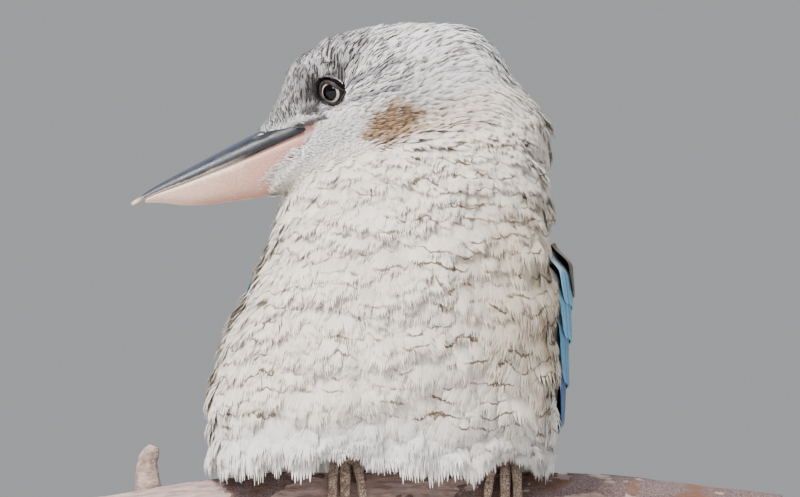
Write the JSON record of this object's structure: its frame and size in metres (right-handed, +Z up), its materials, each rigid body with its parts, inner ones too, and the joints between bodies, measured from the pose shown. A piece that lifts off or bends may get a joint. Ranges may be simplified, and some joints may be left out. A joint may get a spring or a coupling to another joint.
{
  "type": "perched kookaburra figure",
  "caption": "Life-size still model of a blue-winged kookaburra sitting upright on a cut length of branch held over a flat oval base",
  "frame": {"origin": "middle of the underside of the oval base, on the table plane", "axes": "+X runs along the branch towards the end nearer the bird's left foot, -Y is the side that the bird's breast faces, +Z is up"},
  "size_m": [0.328, 0.1678, 0.33],
  "materials": {
    "head_plumage": "dry white feathers with fine dark grey shaft streaks and a buff ear patch",
    "body_plumage": "soft creamy white feathers with thin wavy brown bars in front, dark brown mantle and pale azure rump behind",
    "tail_plumage": "dark blue feathers with white tips",
    "wing_plumage": "azure coverts over dark blue and blackish flight feathers",
    "bill_dark": "blue-black horn with a worn satin gloss and a pale tip",
    "bill_pale": "pinkish cream horn, salmon towards the lower edge, satin gloss",
    "eye": "wet clear cornea over a pale greyish white iris and a large black pupil",
    "leg_skin": "greyish horn scaly skin",
    "claw": "blackish horn, slightly glossy",
    "branch_wood": "weathered branch with patches of flaking purple-grey bark over pinkish bare wood",
    "stand": "plain matt grey paint"
  },
  "bodies": {
    "root": {"head": "head_plumage", "neck": "body_plumage", "torso": "body_plumage", "tail": "tail_plumage", "wing_left": "wing_plumage", "wing_right": "wing_plumage", "bill_upper": "bill_dark", "bill_lower": "bill_pale", "eye_left": "eye", "eye_right": "eye", "leg_left": "leg_skin", "leg_right": "leg_skin", "foot_left": "leg_skin", "foot_right": "leg_skin", "claw_left_inner": "claw", "claw_left_middle": "claw", "claw_left_outer": "claw", "claw_left_hind": "claw", "claw_right_inner": "claw", "claw_right_middle": "claw", "claw_right_outer": "claw", "claw_right_hind": "claw", "perch_branch": "branch_wood", "stand_base": "stand", "stand_rod_left": "stand", "stand_rod_right": "stand"}
  },
  "joints": []
}
